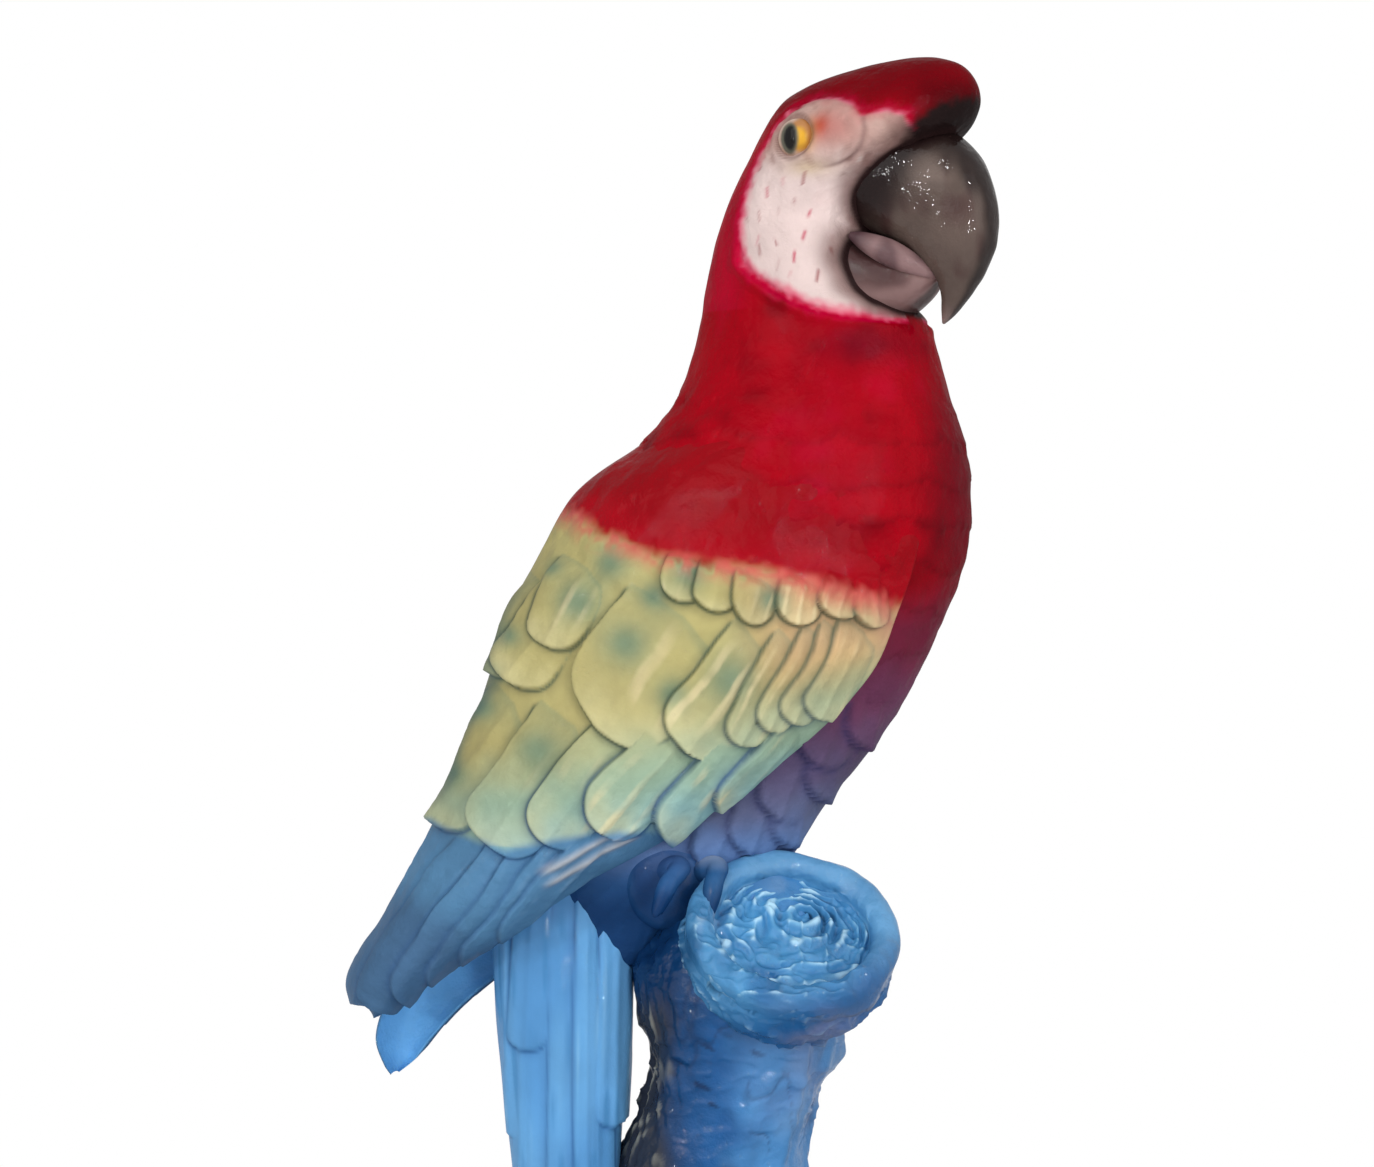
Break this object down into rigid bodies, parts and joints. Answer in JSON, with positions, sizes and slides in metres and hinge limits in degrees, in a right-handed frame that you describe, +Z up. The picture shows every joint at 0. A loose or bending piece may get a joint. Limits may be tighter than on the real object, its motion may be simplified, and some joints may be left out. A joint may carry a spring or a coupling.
{
  "type": "parrot_figurine",
  "caption": "Glazed earthenware parrot figurine: a red, yellow and blue macaw perched on a blue tree stump, slip-cast in one piece.",
  "frame": {"origin": "near the middle of the foot's flat underside, on the plane that the figurine stands on", "axes": "+Z up; +X where the bird's breast faces; the stump's cut face and the turned head look towards -Y"},
  "size_m": [0.1801, 0.1119, 0.4056],
  "materials": {
    "glazed_ceramic": "high gloss glaze, hand-painted in red, yellow, green and blue"
  },
  "bodies": {
    "root": {"parrot_figurine": "glazed_ceramic"}
  },
  "joints": []
}
